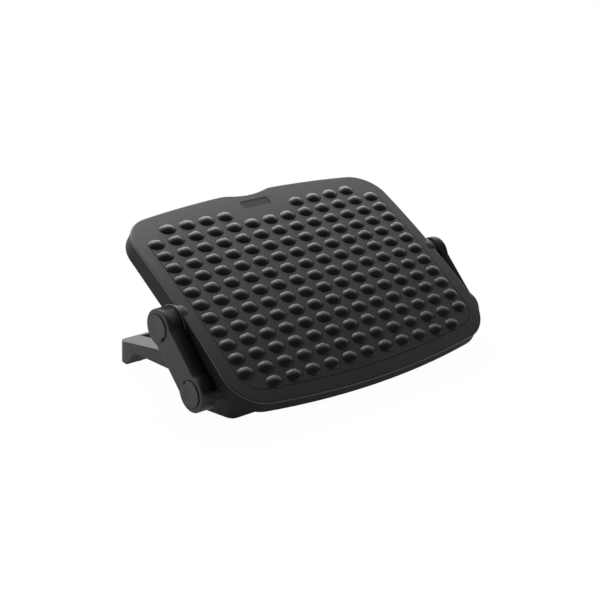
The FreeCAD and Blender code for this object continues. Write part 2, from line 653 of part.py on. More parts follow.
node("base_frame", cut("base_finished", fuse("base_with_hubs", [hollowed] + hubs),
                       fuse("pivot_bores", pivot_bores)))

# Foot pads: four rubber discs glued into their seats.
pads = []
for number, (across, along) in enumerate(PAD_SPOTS, start=1):
    disc = doc.addObject("Part::Cylinder", "pad_%d" % number)
    disc.setExpression("Radius", "size.pad_radius")
    disc.setExpression("Height", "size.pad_thickness")
    disc.setExpression("Placement.Base.x", across)
    disc.setExpression("Placement.Base.y", along)
    pads.append(disc)


def compound(name, items):
    """One node that holds several alike solids."""
    item = doc.addObject("Part::Compound", name + "_set")
    item.Links = items
    node(name, item)
    return item


compound("foot_pads", pads)


# Arms
# Each arm is a closed moulding outside and a ribbed hollow inside, with a screw well at each end.
def arm_body(name, side):
    body = doc.addObject("PartDesign::Body", "arm_%s_body" % name)
    outward = side == LEFT
    inner = signed(side, "size.arm_inner")
    beam = sketch_on(body, "beam_%s" % name, "YZ_Plane", inner)
    draw_outline(beam, [
        ("0", "-size.arm_waist / 2", None),
        ("size.arm_centres", "-size.arm_waist / 2", None),
        ("size.arm_centres", "size.arm_waist / 2", None),
        ("0", "size.arm_waist / 2", None),
    ])
    pad(body, "beam_pad_%s" % name, beam, "size.arm_thickness", reverse=outward)
    for end, along in (("lower", "0"), ("upper", "size.arm_centres")):
        disc = sketch_on(body, "%s_end_%s" % (end, name), "YZ_Plane", inner)
        draw_circle(disc, along, "0", "size.arm_radius")
        pad(body, "%s_end_pad_%s" % (end, name), disc, "size.arm_thickness", reverse=outward)
    fillet(body, "neck_%s" % name, lambda edge: edge.BoundBox.XLength > value("size.arm_thickness") - 1
           and abs(abs(edge.CenterOfMass.z) - value("size.arm_waist / 2")) < 0.1, "size.arm_neck")
    outer = abs(value(ARM_OUTER))
    fillet(body, "outer_edge_%s" % name, lambda edge: abs(abs(edge.CenterOfMass.x) - outer) < 0.01
           and edge.BoundBox.XLength < 0.01, "size.arm_edge")
    start = "(size.arm_radius + size.arm_wall)"
    half = "(size.arm_waist / 2 - size.arm_wall)"
    middle = "(size.arm_centres / 2)"
    for number, (low, high) in enumerate(((start, "%s - size.rib_wall / 2" % middle),
                                          ("%s + size.rib_wall / 2" % middle,
                                           "size.arm_centres - %s" % start)), start=1):
        cell = sketch_on(body, "cell_%d_%s" % (number, name), "YZ_Plane", inner)
        draw_outline(cell, [(low, "-" + half, None), (high, "-" + half, None), (high, half, None), (low, half, None)])
        pocket(body, "cell_cut_%d_%s" % (number, name), cell, "size.arm_thickness - size.arm_wall",
               reverse=side == RIGHT)
    for end, along, bore in (("lower", "0", "size.bolt_radius + size.bolt_fit"),
                             ("upper", "size.arm_centres", "size.bolt_radius + size.bolt_fit + size.bush_wall")):
        for part, depth, radius in (("seat", "size.cap_seat", "size.cap_radius + size.cap_gap"),
                                    ("well", "size.well_depth", "size.well_radius"),
                                    ("bore", "size.arm_thickness", bore)):
            ring = sketch_on(body, "%s_%s_%s" % (end, part, name), "YZ_Plane", signed(side, ARM_OUTER))
            draw_circle(ring, along, "0", radius)
            pocket(body, "%s_%s_cut_%s" % (end, part, name), ring, depth, reverse=side == LEFT)
    place(body, "0", HEIGHT_Y, HEIGHT_Z, "size.arm_lean")
    return body


# Screw covers: shallow caps that snap into the wells, each with a notch to prise it out.
CAP_INNER = "(%s - size.cap_seat)" % ARM_OUTER
CAP_OUTER = "(%s + size.cap_proud)" % ARM_OUTER
SKIRT_OUTER = "(size.well_radius - size.seat_gap)"


def cap_body(name, side, along, towards):
    """A cover on the arm's centre line, with its notch on the side that faces the other cover."""
    body = turned(name + "_body", side, [
        (CAP_INNER, "0"),
        (CAP_OUTER, "0"),
        (CAP_OUTER, "size.cap_radius - size.arm_edge / 2"),
        ("%s - size.arm_edge / 2" % CAP_OUTER, "size.cap_radius"),
        (CAP_INNER, "size.cap_radius"),
        (CAP_INNER, SKIRT_OUTER),
        ("%s - size.cap_seat" % CAP_INNER, SKIRT_OUTER),
        ("%s - size.cap_seat" % CAP_INNER, "%s - size.cap_proud" % SKIRT_OUTER),
        (CAP_INNER, "%s - size.cap_proud" % SKIRT_OUTER),
    ], "0", "0")
    notch = sketch_on(body, name + "_notch", "YZ_Plane", signed(side, CAP_OUTER))
    near = "(size.cap_radius - size.cap_seat)"
    far = "(size.cap_radius + size.cap_seat)"
    low, high = (near, far) if towards > 0 else ("-" + far, "-" + near)
    half = "(size.cap_seat * 0.9)"
    draw_outline(notch, [(low, "-" + half, None), (high, "-" + half, None), (high, half, None), (low, half, None)])
    pocket(body, name + "_notch_cut", notch, "size.cap_proud", reverse=side == LEFT)
    lean = "size.arm_lean"
    place(body, "0", "%s + %s * cos(%s)" % (HEIGHT_Y, along, lean), "%s + %s * sin(%s)" % (HEIGHT_Z, along, lean),
          lean)
    return body


for name, side in SIDES.items():
    node("arm_" + name, arm_body(name, side))
    node("height_cap_" + name, cap_body("height_cap_" + name, side, "0", 1))
    node("tilt_cap_" + name, cap_body("tilt_cap_" + name, side, "size.arm_centres", -1))


# Pivot hardware
# At each end of an arm a bolt, washer and disc spring clamp the arm. The lower bolts stay with the base,
# the upper ones with the tread.
def bolt(name, side, tip):
    head = hexagon(name + "_head", side, HEAD_SEAT, "size.head_height")
    shank = cylinder(name + "_shank", side, tip, "%s + size.head_height / 2" % HEAD_SEAT, "size.bolt_radius")
    return fuse(name, [head, shank])


def ring(name, side, inner, outer, hole, radius, rearward="0", upward="0"):
    """A flat ring between two distances from the middle plane."""
    return turned(name, side, [(inner, hole), (outer, hole), (outer, radius), (inner, radius)], rearward, upward)


def nut(name, side, outer):
    blank = hexagon(name + "_blank", side, "%s - size.nut_height" % outer, "size.nut_height")
    hole = cylinder(name + "_thread", side, "%s - size.nut_height - 1" % outer, "%s + 1" % outer,
                    "size.bolt_radius")
    return cut(name, blank, hole)


LOOSE_HOLE = "(size.bolt_radius + size.seat_gap * 3)"
PIVOTS = {
    "height": (HEIGHT_Y, HEIGHT_Z, BASE_NUT_SEAT, None),
    "tilt": (TILT_Y, TILT_Z, NUT_SEAT, "size.tread_tilt"),
}
for pivot, (rearward, upward, nut_seat, slope) in PIVOTS.items():
    tip = "%s - size.nut_height - size.bolt_tail" % nut_seat
    bolts = [bolt("%s_bolt_%s" % (pivot, name), side, tip) for name, side in SIDES.items()]
    nuts = [nut("%s_nut_%s" % (pivot, name), side, nut_seat) for name, side in SIDES.items()]
    washers = [ring("%s_washer_%s" % (pivot, name), side, SPRING_TOP, HEAD_SEAT, LOOSE_HOLE, "size.washer_radius")
               for name, side in SIDES.items()]
    for kind, items in (("bolts", bolts), ("nuts", nuts), ("washers", washers)):
        place(compound("%s_%s" % (pivot, kind), items), "0", rearward, upward, slope)
    for name, side in SIDES.items():
        foot_of_cone = "%s + size.seat_gap" % WELL_FLOOR
        node("%s_spring_%s" % (pivot, name), turned("%s_spring_body_%s" % (pivot, name), side, [
            ("%s + size.spring_cone" % foot_of_cone, LOOSE_HOLE),
            ("%s + size.spring_cone + size.spring_thickness" % foot_of_cone, LOOSE_HOLE),
            ("%s + size.spring_thickness" % foot_of_cone, "size.washer_radius"),
            (foot_of_cone, "size.washer_radius"),
        ], rearward, upward))

# Click rings: toothed rings keyed to the base's bosses, which hold the arms at their heights.
RING_FACE = "(size.arm_inner - size.seat_gap * 2)"
for name, side in SIDES.items():
    body = ring("click_ring_body_%s" % name, side, BOSS_FACE, RING_FACE, LOOSE_HOLE, "size.ring_radius",
                HEIGHT_Y, HEIGHT_Z)
    for place_name, turn in (("upper", 1), ("lower", -1)):
        sketch = sketch_on(body, "peg_%s_%s" % (place_name, name), "YZ_Plane", signed(side, BOSS_FACE))
        draw_circle(sketch, "0", "%d * size.peg_circle" % turn, "size.peg_radius")
        pad(body, "peg_pad_%s_%s" % (place_name, name), sketch, "size.peg_length", reverse=side == RIGHT)
    groove = sketch_on(body, "tooth_gap_%s" % name, "YZ_Plane", signed(side, RING_FACE))
    draw_outline(groove, [
        ("size.ring_radius * 0.55", "-size.tooth_depth / 2", None),
        ("size.ring_radius + 1", "-size.tooth_depth", None),
        ("size.ring_radius + 1", "size.tooth_depth", None),
        ("size.ring_radius * 0.55", "size.tooth_depth / 2", None),
    ])
    gap = pocket(body, "tooth_gap_cut_%s" % name, groove, "size.tooth_depth", reverse=side == LEFT)
    teeth = body.newObject("PartDesign::PolarPattern", "teeth_%s" % name)
    teeth.Originals = [gap]
    teeth.Axis = (next(item for item in body.Origin.OriginFeatures if item.Role == "X_Axis"), [""])
    teeth.Angle = 360
    teeth.setExpression("Occurrences", "size.click_teeth")
    body.Tip = teeth
    node("click_ring_" + name, body)

# Tilt bushes line the arms' upper bores, and friction washers hold the tread at its slope.
for name, side in SIDES.items():
    node("tilt_bush_" + name, ring("tilt_bush_body_" + name, side, "size.arm_inner", WELL_FLOOR,
                                   "size.bolt_radius + size.bolt_fit",
                                   "size.bolt_radius + size.bolt_fit + size.bush_wall", TILT_Y, TILT_Z))
    node("friction_washer_" + name, ring("friction_washer_body_" + name, side, "size.ear_outer",
                                         "size.arm_inner - size.seat_gap", LOOSE_HOLE, "size.friction_radius",
                                         TILT_Y, TILT_Z))

doc.recompute()
faults = [item.Name for item in doc.Objects if {"Invalid", "Error"} & set(item.State)]
for name, item in NODES.items():
    if item.Shape.isNull() or not item.Shape.isValid() or not item.Shape.Solids:
        faults.append(name)
if faults:
    raise RuntimeError("these did not build: " + ", ".join(faults))

os.makedirs("parts", exist_ok=True)
for name, item in NODES.items():
    item.Shape.exportStep("parts/%s.step" % name)
    print(name, len(item.Shape.Solids), round(item.Shape.Volume))
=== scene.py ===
# Tilting under desk footrest, dressed for looks. Metres, in the frame of its construction model.
import bpy
import bmesh
import json
import math
from mathutils import Matrix, Vector


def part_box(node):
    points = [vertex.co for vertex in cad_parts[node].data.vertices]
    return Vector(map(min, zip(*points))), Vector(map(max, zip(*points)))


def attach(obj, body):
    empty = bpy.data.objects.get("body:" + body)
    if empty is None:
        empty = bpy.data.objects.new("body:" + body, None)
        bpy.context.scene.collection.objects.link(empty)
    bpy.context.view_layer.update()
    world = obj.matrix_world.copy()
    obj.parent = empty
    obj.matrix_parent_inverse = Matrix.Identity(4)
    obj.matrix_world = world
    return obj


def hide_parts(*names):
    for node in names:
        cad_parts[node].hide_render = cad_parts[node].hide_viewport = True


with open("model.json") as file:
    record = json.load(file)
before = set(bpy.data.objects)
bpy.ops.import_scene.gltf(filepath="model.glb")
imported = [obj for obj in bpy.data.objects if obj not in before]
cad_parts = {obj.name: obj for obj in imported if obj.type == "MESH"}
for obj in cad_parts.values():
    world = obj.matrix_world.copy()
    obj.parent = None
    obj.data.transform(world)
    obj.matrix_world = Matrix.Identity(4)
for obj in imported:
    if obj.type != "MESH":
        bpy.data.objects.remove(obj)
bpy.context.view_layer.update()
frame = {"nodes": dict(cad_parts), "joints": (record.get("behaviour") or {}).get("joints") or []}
joints = {joint["name"]: joint for joint in frame["joints"]}

# Studio
# A sheet of white paper for a floor, under a surround that is lit from behind. The camera is a long lens at
# the front left, a little above the tread, and leans as the photograph does.
CAMERA_PLACE = (-1.1530, -1.2604, 0.7687)
CAMERA_TURN = (68.16, -2.74, -40.91)
CAMERA_LENS = 81.07

camera = bpy.data.objects.new("camera", bpy.data.cameras.new("camera"))
camera.data.lens = CAMERA_LENS
camera.location = CAMERA_PLACE
camera.rotation_euler = [math.radians(angle) for angle in CAMERA_TURN]
bpy.context.scene.collection.objects.link(camera)
bpy.context.scene.camera = camera
bpy.context.scene.view_settings.view_transform = "Standard"


def adder(tree):
    """A call that adds a node to a tree: settings by name, and inputs as a dict of values or sockets."""
    def add(kind, inputs=None, **settings):
        made = tree.nodes.new(kind)
        for key, setting in settings.items():
            setattr(made, key, setting)
        for key, value in (inputs or {}).items():
            if isinstance(value, bpy.types.NodeSocket):
                tree.links.new(value, made.inputs[key])
            else:
                made.inputs[key].default_value = value
        return made
    return add


def new_material(name):
    """An empty node material, and a call that adds a node with its settings."""
    material = bpy.data.materials.new(name)
    material.use_nodes = True
    material.node_tree.nodes.clear()
    return material, adder(material.node_tree)


# The surround is bright behind the footrest and falls off to a dark camera side.
SURROUND_BRIGHT_TOWARDS = (0.05, 1.0, 0.0)
SURROUND_FADE_FROM, SURROUND_FADE_TO = -0.25, 0.55
SURROUND_DIM, SURROUND_BRIGHT = 0.10, 1.85

world = bpy.data.worlds.new("studio")
bpy.context.scene.world = world
world.use_nodes = True
world.node_tree.nodes.clear()
add = adder(world.node_tree)
direction = add("ShaderNodeTexCoord").outputs["Generated"]
facing = add("ShaderNodeVectorMath", {0: direction, 1: Vector(SURROUND_BRIGHT_TOWARDS).normalized()},
             operation="DOT_PRODUCT")
level = add("ShaderNodeMapRange", {
    "Value": facing.outputs["Value"], "From Min": SURROUND_FADE_FROM, "From Max": SURROUND_FADE_TO,
    "To Min": SURROUND_DIM, "To Max": SURROUND_BRIGHT}, interpolation_type="SMOOTHSTEP")
background = add("ShaderNodeBackground", {"Color": (1, 1, 1, 1), "Strength": level.outputs["Result"]})
add("ShaderNodeOutputWorld", {"Surface": background.outputs["Background"]})


def softbox(name, place, aim, size, power):
    """A square area lamp that faces a point."""
    lamp = bpy.data.objects.new(name, bpy.data.lights.new(name, "AREA"))
    lamp.data.size, lamp.data.energy = size, power
    lamp.location = place
    lamp.rotation_euler = (Vector(aim) - Vector(place)).to_track_quat("-Z", "Y").to_euler()
    bpy.context.scene.collection.objects.link(lamp)


softbox("key", (0.5, 1.6, 2.2), (0, 0, 0.1), 1.6, 32)
softbox("low_rear", (1.9, 2.1, 1.15), (-0.2, 0.1, 0.05), 1.2, 14)
softbox("left_fill", (-2.4, 0.3, 0.9), (0, 0, 0.1), 1.2, 6)

# The paper glows almost white where the camera looks at it, which leaves it a faint shadow. In what
# reflects it, the glow is weaker.
FLOOR_HALF = 12
PAPER_GLOW, PAPER_GLOW_REFLECTED = 0.98, 0.35
floor_mesh = bmesh.new()
bmesh.ops.create_grid(floor_mesh, x_segments=1, y_segments=1, size=FLOOR_HALF)
floor = bpy.data.objects.new("floor", bpy.data.meshes.new("floor"))
floor_mesh.to_mesh(floor.data)
floor_mesh.free()
bpy.context.scene.collection.objects.link(floor)
paper, add = new_material("white_paper")
grain = add("ShaderNodeTexNoise", {"Vector": add("ShaderNodeTexCoord").outputs["Object"], "Scale": 30.0})
tone = add("ShaderNodeMix", {
    "Factor": grain.outputs["Fac"], "A": (0.93, 0.93, 0.93, 1), "B": (0.96, 0.96, 0.96, 1)}, data_type="RGBA")
matt = add("ShaderNodeBsdfDiffuse", {"Color": tone.outputs["Result"]})
glow = add("ShaderNodeEmission", {"Color": (1, 1, 1, 1), "Strength": 1.0})
rays = add("ShaderNodeLightPath")
bounced = add("ShaderNodeMath", {0: rays.outputs["Is Glossy Ray"], 1: rays.outputs["Is Transmission Ray"]},
              operation="MAXIMUM")
weaker = add("ShaderNodeMath", {0: bounced.outputs["Value"], 1: PAPER_GLOW_REFLECTED}, operation="MULTIPLY")
direct = add("ShaderNodeMath", {0: rays.outputs["Is Camera Ray"], 1: PAPER_GLOW}, operation="MULTIPLY")
share = add("ShaderNodeMath", {0: direct.outputs["Value"], 1: weaker.outputs["Value"]}, operation="MAXIMUM")
both = add("ShaderNodeMixShader", {
    "Fac": share.outputs["Value"], 1: matt.outputs["BSDF"], 2: glow.outputs["Emission"]})
add("ShaderNodeOutputMaterial", {"Surface": both.outputs["Shader"]})
floor.data.materials.append(paper)

# Moulded plastic
# Every black piece is an injection moulding with a fine spark-eroded skin: a small even grain, a faint
# clouding from the melt's flow and a satin sheen. One node group makes that skin for all of them.
skin = bpy.data.node_groups.new("moulded_skin", "ShaderNodeTree")
for name, kind, start in (("Colour", "NodeSocketColor", (0.03, 0.03, 0.03, 1)),
                          ("Roughness", "NodeSocketFloat", 0.4),
                          ("Grain size", "NodeSocketFloat", 0.0008),
                          ("Grain depth", "NodeSocketFloat", 0.00002)):
    skin.interface.new_socket(name, in_out="INPUT", socket_type=kind).default_value = start
for name, kind in (("Colour", "NodeSocketColor"), ("Roughness", "NodeSocketFloat"),
                   ("Normal", "NodeSocketVector")):
    skin.interface.new_socket(name, in_out="OUTPUT", socket_type=kind)
add = adder(skin)
given = add("NodeGroupInput")
place = add("ShaderNodeTexCoord").outputs["Object"]
fine = add("ShaderNodeMath", {0: 1.0, 1: given.outputs["Grain size"]}, operation="DIVIDE")
pits = add("ShaderNodeTexNoise", {
    "Vector": place, "Scale": fine.outputs["Value"], "Detail": 2.0, "Roughness": 0.6})
flow = add("ShaderNodeTexNoise", {"Vector": place, "Scale": 9.0, "Detail": 4.0, "Roughness": 0.55})
lighter = add("ShaderNodeMapRange", {
    "Value": flow.outputs["Fac"], "From Min": 0.3, "From Max": 0.7, "To Min": 0.88, "To Max": 1.14})
shade = add("ShaderNodeVectorMath", {0: given.outputs["Colour"], "Scale": lighter.outputs["Result"]},
            operation="SCALE")
rubbed = add("ShaderNodeMapRange", {
    "Value": flow.outputs["Fac"], "From Min": 0.3, "From Max": 0.7, "To Min": -0.03, "To Max": 0.04})
grainy = add("ShaderNodeMapRange", {"Value": pits.outputs["Fac"], "To Min": -0.04, "To Max": 0.04})
rough = add("ShaderNodeMath", {0: given.outputs["Roughness"], 1: rubbed.outputs["Result"]}, operation="ADD")
rougher = add("ShaderNodeMath", {0: rough.outputs["Value"], 1: grainy.outputs["Result"]}, operation="ADD")
bump = add("ShaderNodeBump", {"Height": pits.outputs["Fac"], "Distance": given.outputs["Grain depth"]})
add("NodeGroupOutput", {"Colour": shade.outputs["Vector"], "Roughness": rougher.outputs["Value"],
                        "Normal": bump.outputs["Normal"]})


def plastic(name, colour, roughness, grain_size, grain_depth, specular=0.5):
    """A moulded plastic with its own colour, sheen and grain."""
    material, add = new_material(name)
    surface = add("ShaderNodeGroup", node_tree=skin)
    for key, value in (("Colour", (*colour, 1)), ("Roughness", roughness), ("Grain size", grain_size),
                       ("Grain depth", grain_depth)):
        surface.inputs[key].default_value = value
    shader = add("ShaderNodeBsdfPrincipled", {
        "Base Color": surface.outputs["Colour"], "Roughness": surface.outputs["Roughness"],
        "Normal": surface.outputs["Normal"], "Specular IOR Level": specular})
    add("ShaderNodeOutputMaterial", {"Surface": shader.outputs["BSDF"]})
    return material


def finished(name, mesh, materials, body, slot, *nodes, sharp=35):
    """A bmesh made into a piece that rides on its body and stands for its construction nodes."""
    data = bpy.data.meshes.new(name)
    mesh.to_mesh(data)
    mesh.free()
    piece = bpy.data.objects.new(name, data)
    bpy.context.scene.collection.objects.link(piece)
    for material in materials:
        data.materials.append(material)
    for polygon in data.polygons:
        polygon.use_smooth = True
    data.set_sharp_from_angle(angle=math.radians(sharp))
    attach(piece, body)
    if nodes:
        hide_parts(*nodes)
    return piece


# Tread
# One moulding: a crowned plate with a rounded lip, a fine undercut below it and a slightly flared skirt, with
# a thin groove round its field and a finger notch at the rear. The skirt is given a darker plastic than the
# plate and the groove's floor a near black one, both painted shade. Its frame: the tilt axis is the origin.
TREAD_TILT = math.radians(29.6)
HALF_FRONT, HALF_REAR = 0.227, 0.223
FRONT_Y, FRONT_BOW = -0.169, 0.0198
REAR_Y, REAR_BOW = 0.172, 0.0176
BOW_HALF, BOW_FRONT_FROM, BOW_REAR_FROM = 0.18, -0.14, 0.15
FRONT_CORNER_REACH, REAR_CORNER_REACH = 0.04482, 0.04128
NOTCH_MOUTH, NOTCH_FLOOR, NOTCH_DEEP = 0.040, 0.013, 0.007
NOTCH_MOUTH_REACH, NOTCH_FLOOR_REACH, NOTCH_ROOM = 0.006, 0.012, 0.013
TREAD_TOP, CROWN_FRONT, CROWN_REAR = 0.0247, 1.14, 1.58
RIM_FOLLOWS, CROWN_FADES = 0.25, 0.004
LIP_DEEP, LIP_ROUND, LIP_UNDER_ROUND, LIP_FLAT = 0.0028, 0.0018, 0.0006, 0.0012
UNDERCUT_HIGH, UNDERCUT_DEEP = 0.0016, 0.0016
SKIRT_LOW, SKIRT_FLARE, SKIRT_EDGE = -0.0018, 0.0010, 0.0006
TREAD_WALL, CEILING_EDGE = 0.0028, 0.002
GROOVE_IN, GROOVE_WIDE, GROOVE_DEEP, GROOVE_ENDS = 0.0160, 0.0009, 0.0004, 0.105
PLATE_SKIN, CREASE_SHADE_SKIN, LABEL_SKIN, SKIRT_SHADE_SKIN, BUMP_SHADE_SKIN = range(5)

tilt_axis = Vector((0, joints["tilt"]["pos_m"][1], joints["tilt"]["pos_m"][2]))
to_slope = Matrix.Translation(tilt_axis) @ Matrix.Rotation(TREAD_TILT, 4, "X")


def front_line(x):
    return FRONT_Y + FRONT_BOW * (x / HALF_FRONT) ** 2


def rear_line(x):
    return REAR_Y - REAR_BOW * (x / HALF_REAR) ** 2


def crown_drop(y):
    """How far the plate has fallen away from its highest line."""
    return y * y / (2 * (CROWN_FRONT if y < 0 else CROWN_REAR))


def near(mesh, x, y):
    """The vertices of a flat outline at a place, left and right."""
    return [v for v in mesh.verts if abs(abs(v.co.x) - x) < 1e-5 and abs(v.co.y - y) < 1e-5]


def follow_bows(mesh):
    """Pulls the vertices of the front and rear edges onto their bows, and leaves room for the notch."""
    for vert in mesh.verts:
        if abs(vert.co.x) < BOW_HALF and vert.co.y < BOW_FRONT_FROM:
            vert.co.y = front_line(vert.co.x)
        if NOTCH_MOUTH + NOTCH_ROOM < abs(vert.co.x) < BOW_HALF and vert.co.y > BOW_REAR_FROM:
            vert.co.y = rear_line(vert.co.x)


def split(mesh, edges, cuts):
    """Cuts edges of an outline one by one, which leaves its face whole."""
    for edge in edges:
        bmesh.ops.subdivide_edges(mesh, edges=[edge], cuts=cuts)


def outward(points):
    """For each point of an outline, the outward step that moves both its edges out by one."""
    steps = []
    for before, point, after in zip(points[-1:] + points[:-1], points, points[1:] + points[:1]):
        sides = [Vector((edge.y, -edge.x, 0)).normalized() for edge in (point - before, after - point)]
        steps.append((sides[0] + sides[1]) / (1 + sides[0].dot(sides[1])))
    return steps


def raised(mesh, face, section):
    """Extrudes an outline's face once for each point of a section, given as inward step and height."""
    points = [vert.co.copy() for vert in face.verts]
    steps = outward(points)
    for inward, height in section:
        face = bmesh.ops.extrude_discrete_faces(mesh, faces=[face])["faces"][0]
        for vert, point, out in zip(face.verts, points, steps):
            vert.co = point - out * inward
            vert.co.z = height


def quarter(height, radius, segments, rises=1):
    """Section points of a quarter round that ends on a face's level, from its upright side."""
    angles = [math.pi / 2 * part / segments for part in range(segments + 1)]
    return [(radius * (1 - math.cos(a)), height - rises * radius * (1 - math.sin(a))) for a in angles]


tread = bmesh.new()
front_corner, rear_corner = (HALF_FRONT, front_line(HALF_FRONT)), (HALF_REAR, rear_line(HALF_REAR))
mouth, notch_end = (NOTCH_MOUTH, rear_line(NOTCH_MOUTH)), (NOTCH_FLOOR, REAR_Y - NOTCH_DEEP)
right_half = [front_corner, rear_corner, mouth, notch_end]
corners = [(-front_corner[0], front_corner[1])] + right_half + [(-x, y) for x, y in right_half[:0:-1]]
outline = tread.faces.new([tread.verts.new((x, y, SKIRT_LOW)) for x, y in corners])
edge_list = outline.edges[:]
split(tread, [edge_list[0]], 8)
split(tread, [edge_list[2], edge_list[6]], 3)
follow_bows(tread)
for corner, reach, segments in ((front_corner, FRONT_CORNER_REACH, 14), (rear_corner, REAR_CORNER_REACH, 14),
                                (mouth, NOTCH_MOUTH_REACH, 5), (notch_end, NOTCH_FLOOR_REACH, 6)):
    bmesh.ops.bevel(tread, geom=near(tread, *corner), offset=reach, segments=segments, profile=0.5,
                    affect="VERTICES", material=-1)
for cuts, long in ((3, 0.030), (1, 0.012)):
    split(tread, [edge for edge in tread.edges if edge.calc_length() > long], cuts)
follow_bows(tread)

# The same outline is drawn up to the top for the outside, and up to the ceiling for the inside.
top = tread.faces[:][0]
if top.normal.z < 0:
    top.normal_flip()
inside = tread.faces.new([tread.verts.new(vert.co) for vert in top.verts])
skirt_high = TREAD_TOP - LIP_DEEP - UNDERCUT_HIGH
lip_low = skirt_high + UNDERCUT_HIGH
groove_floor = TREAD_TOP - GROOVE_DEEP
groove_from = LIP_ROUND + LIP_FLAT + GROOVE_IN
raised(tread, top,
       [(SKIRT_FLARE, skirt_high - SKIRT_EDGE), (UNDERCUT_DEEP, skirt_high), (UNDERCUT_DEEP, lip_low)]
       + quarter(lip_low, LIP_UNDER_ROUND, 2, -1)[::-1] + quarter(TREAD_TOP, LIP_ROUND, 5)
       + [(LIP_ROUND + LIP_FLAT, TREAD_TOP), (groove_from, TREAD_TOP),
          (groove_from + GROOVE_WIDE / 8, groove_floor), (groove_from + GROOVE_WIDE * 7 / 8, groove_floor),
          (groove_from + GROOVE_WIDE, TREAD_TOP)])
raised(tread, inside, [(TREAD_WALL, SKIRT_LOW), (TREAD_WALL + UNDERCUT_DEEP, skirt_high - CEILING_EDGE),
                       (TREAD_WALL + UNDERCUT_DEEP, TREAD_TOP - TREAD_WALL)])
bmesh.ops.remove_doubles(tread, verts=tread.verts, dist=1e-6)
bmesh.ops.recalc_face_normals(tread, faces=tread.faces)
# Painted shade: the skirt gets a darker copy of the plate's plastic, and the groove's floor a near black one.
for face in tread.faces:
    if face.calc_center_median().z < lip_low:
        face.material_index = SKIRT_SHADE_SKIN
    elif all(abs(vert.co.z - groove_floor) < 1e-7 for vert in face.verts):
        face.material_index = CREASE_SHADE_SKIN

# Cut across in strips, so that the plate can follow its crown, and round the bare place for a label.
STRIP, STRIPS_EACH_WAY = 0.008, 20
LABEL_Y, LABEL_LONG, LABEL_WIDE, LABEL_DEEP, LABEL_EDGE = 0.147, 0.049, 0.014, 0.0006, 0.0003


def cut_across(mesh, faces, axis, place_at):
    """Cuts faces along a plane across an axis."""
    normal = Vector([float(number == axis) for number in range(3)])
    geom = list({item for face in faces for item in (*face.verts, *face.edges)}) + faces
    bmesh.ops.bisect_plane(mesh, geom=geom, plane_co=normal * place_at, plane_no=normal)


def rear_top():
    """The faces of the flat top behind the groove's ends, before it is crowned."""
    return [face for face in tread.faces if face.normal.z > 0.7
            and face.calc_center_median().z > TREAD_TOP - 1e-5 and face.calc_center_median().y > GROOVE_ENDS]


strips = [row * STRIP for row in range(-STRIPS_EACH_WAY, STRIPS_EACH_WAY + 1)]
for y in strips:
    cut_across(tread, tread.faces[:], 1, y)
for vert in tread.verts:
    if abs(vert.co.z - groove_floor) < 1e-7 and vert.co.y > GROOVE_ENDS:
        vert.co.z = TREAD_TOP
        for face in vert.link_faces:
            face.material_index = PLATE_SKIN
tread.normal_update()
for axis, places in ((0, (-LABEL_LONG / 2, LABEL_LONG / 2)),
                     (1, (LABEL_Y - LABEL_WIDE / 2, LABEL_Y + LABEL_WIDE / 2))):
    for place_at in places:
        cut_across(tread, rear_top(), axis, place_at)
label = [face for face in rear_top() if abs(face.calc_center_median().x) < LABEL_LONG / 2
         and abs(face.calc_center_median().y - LABEL_Y) < LABEL_WIDE / 2]
bmesh.ops.inset_region(tread, faces=label, thickness=LABEL_EDGE, use_even_offset=True)
label_corners = list({vert for face in label for vert in face.verts})
bmesh.ops.translate(tread, verts=label_corners, vec=(0, 0, -LABEL_DEEP))
for face in label:
    face.material_index = LABEL_SKIN
for vert in tread.verts:
    share = min(1.0, max(0.0, vert.co.z / (skirt_high - CROWN_FADES)))
    vert.co.z -= (RIM_FOLLOWS + (1 - RIM_FOLLOWS) * share) * crown_drop(vert.co.y)

# Ribs stiffen the plate from below, in a grid whose lower edges are level.
RIB_THICK, RIB_FOOT = 0.0024, 0.009
RIBS_ALONG_Y = [share * 2 * HALF_FRONT for share in (-0.36, -0.12, 0.12, 0.36)]
RIBS_ALONG_X = [share * FRONT_Y for share in (-0.66, -0.33, 0.33, 0.66)]
RIB_END_Y, RIB_END_X = 0.012, 0.006


def add_mesh(target, source, name):
    """Puts a bmesh's faces into another one."""
    data = bpy.data.meshes.new(name)
    source.to_mesh(data)
    source.free()
    target.from_mesh(data)


for along_y, places in ((True, RIBS_ALONG_Y), (False, RIBS_ALONG_X)):
    for place_at in places:
        rib = bmesh.new()
        bmesh.ops.create_cube(rib, size=1)
        if along_y:
            low, high = FRONT_Y + RIB_END_Y, REAR_Y - RIB_END_Y
            size, middle = (RIB_THICK, high - low, 1), (place_at, (low + high) / 2, 0)
        else:
            low, high = -HALF_REAR + RIB_END_X, HALF_REAR - RIB_END_X
            size, middle = (high - low, RIB_THICK, 1), ((low + high) / 2, place_at, 0)
        bmesh.ops.scale(rib, verts=rib.verts, vec=size)
        bmesh.ops.translate(rib, verts=rib.verts, vec=middle)
        if along_y:
            for y in strips[::2]:
                cut_across(rib, rib.faces[:], 1, y)
        for vert in rib.verts:
            ceiling = TREAD_TOP - TREAD_WALL / 2 - crown_drop(vert.co.y)
            vert.co.z = ceiling if vert.co.z > 0 else RIB_FOOT
        add_mesh(tread, rib, "rib")

# Ears: the round hubs at the ends of the tilt axis, turned with a soft inner shoulder.
EAR_RADIUS, EAR_INNER, EAR_OUTER = 0.026, 0.2085, 0.228
EAR_SHOULDER, EAR_EDGE = 0.011, 0.0012


